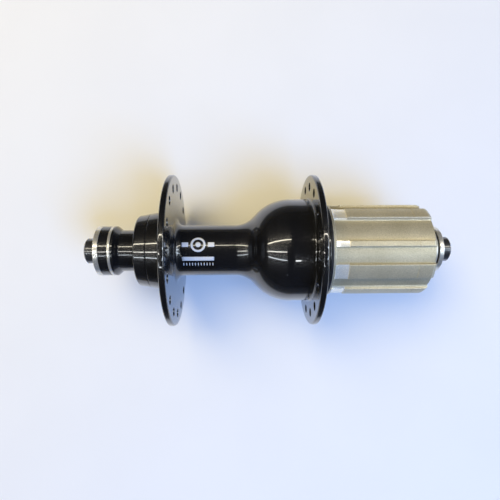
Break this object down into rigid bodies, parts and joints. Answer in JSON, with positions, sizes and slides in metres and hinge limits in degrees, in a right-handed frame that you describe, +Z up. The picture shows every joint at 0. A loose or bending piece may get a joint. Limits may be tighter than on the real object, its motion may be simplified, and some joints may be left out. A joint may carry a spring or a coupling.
{
  "type": "bicycle rear hub",
  "caption": "Black rear bicycle hub for a rim-brake wheel, with drilled spoke flanges, a bell-shaped drive side and a splined champagne freehub body on a hollow axle.",
  "frame": {"origin": "on the hub axis, midway between the two dropout faces", "axes": "+Y along the axle towards the non-drive side, -Y towards the cassette side, +X forward when mounted, +Z up; positive turn about +Y is the wheel rolling forward"},
  "size_m": [0.0576, 0.1396, 0.0576],
  "materials": {
    "black_anodised": "gloss black anodising over turned alloy",
    "black_axle": "satin black anodising",
    "bright_alloy": "bright turned alloy",
    "bright_steel": "bright plated steel, turned",
    "champagne_alloy": "fine blasted, champagne anodised, satin",
    "black_rubber": "smooth moulded rubber",
    "tool_steel": "hardened and lightly oiled steel",
    "spring_steel": "blued spring steel",
    "bearing_steel": "ground bearing steel",
    "ball_steel": "polished bearing steel",
    "cage_nylon": "natural nylon",
    "seal_rubber": "moulded bearing seal"
  },
  "bodies": {
    "axle_assembly": {"axle": "black_axle", "left_dropout_nut": "bright_steel", "left_lock_ring": "black_anodised", "left_washer": "bright_alloy", "left_end_cap": "black_anodised", "bearing_spacer": "bright_alloy", "freehub_spacer": "bright_alloy", "right_end_cap": "bright_alloy", "right_washer": "black_rubber", "right_dropout_nut": "bright_steel", "left_shell_bearing_inner_race": "bearing_steel", "right_shell_bearing_inner_race": "bearing_steel", "freehub_inner_bearing_inner_race": "bearing_steel", "freehub_outer_bearing_inner_race": "bearing_steel"},
    "shell": {"hub_shell": "black_anodised", "left_dust_cap": "black_anodised", "ratchet_ring": "tool_steel", "left_shell_bearing_outer_race": "bearing_steel", "left_shell_bearing_seals": "seal_rubber", "right_shell_bearing_outer_race": "bearing_steel", "right_shell_bearing_seals": "seal_rubber"},
    "freehub": {"freehub_body": "champagne_alloy", "freehub_seal": "black_rubber", "outer_race_spacer": "bright_alloy", "freehub_circlip": "spring_steel", "pawl_springs": "spring_steel", "freehub_inner_bearing_outer_race": "bearing_steel", "freehub_inner_bearing_seals": "seal_rubber", "freehub_outer_bearing_outer_race": "bearing_steel", "freehub_outer_bearing_seals": "seal_rubber"},
    "shell_balls": {"left_shell_bearing_balls": "ball_steel", "left_shell_bearing_cage": "cage_nylon", "right_shell_bearing_balls": "ball_steel", "right_shell_bearing_cage": "cage_nylon"},
    "freehub_balls": {"freehub_inner_bearing_balls": "ball_steel", "freehub_inner_bearing_cage": "cage_nylon", "freehub_outer_bearing_balls": "ball_steel", "freehub_outer_bearing_cage": "cage_nylon"},
    "pawl_1": {"pawl_1": "tool_steel"},
    "pawl_2": {"pawl_2": "tool_steel"},
    "pawl_3": {"pawl_3": "tool_steel"}
  },
  "joints": [
    {"name": "shell_spin", "type": "hinge", "parent": "axle_assembly", "child": "shell", "pos_m": [0, 0, 0], "axis": [0, 1, 0], "continuous": true},
    {"name": "freehub_spin", "type": "hinge", "parent": "axle_assembly", "child": "freehub", "pos_m": [0, 0, 0], "axis": [0, 1, 0], "continuous": true},
    {"name": "shell_balls_spin", "type": "hinge", "parent": "axle_assembly", "child": "shell_balls", "pos_m": [0, 0, 0], "axis": [0, 1, 0], "continuous": true},
    {"name": "freehub_balls_spin", "type": "hinge", "parent": "axle_assembly", "child": "freehub_balls", "pos_m": [0, 0, 0], "axis": [0, 1, 0], "continuous": true},
    {"name": "pawl_1_lift", "type": "hinge", "parent": "freehub", "child": "pawl_1", "pos_m": [0.00397, -0.0132, 0.0109], "axis": [0, -1, 0], "range_deg": [0, 8.62], "stiffness_Nm_per_rad": 0.006, "springref_deg": 17.19},
    {"name": "pawl_2_lift", "type": "hinge", "parent": "freehub", "child": "pawl_2", "pos_m": [0.00746, -0.0132, -0.00889], "axis": [0, -1, 0], "range_deg": [0, 8.62], "stiffness_Nm_per_rad": 0.006, "springref_deg": 17.19},
    {"name": "pawl_3_lift", "type": "hinge", "parent": "freehub", "child": "pawl_3", "pos_m": [-0.01142, -0.0132, -0.00201], "axis": [0, -1, 0], "range_deg": [0, 8.62], "stiffness_Nm_per_rad": 0.006, "springref_deg": 17.19}
  ],
  "couplings": [
    {"joint": "shell_balls_spin", "follows": "shell_spin", "ratio": 0.59722},
    {"joint": "freehub_balls_spin", "follows": "freehub_spin", "ratio": 0.59722},
    {"joint": "pawl_2_lift", "follows": "pawl_1_lift", "ratio": 1},
    {"joint": "pawl_3_lift", "follows": "pawl_1_lift", "ratio": 1}
  ]
}
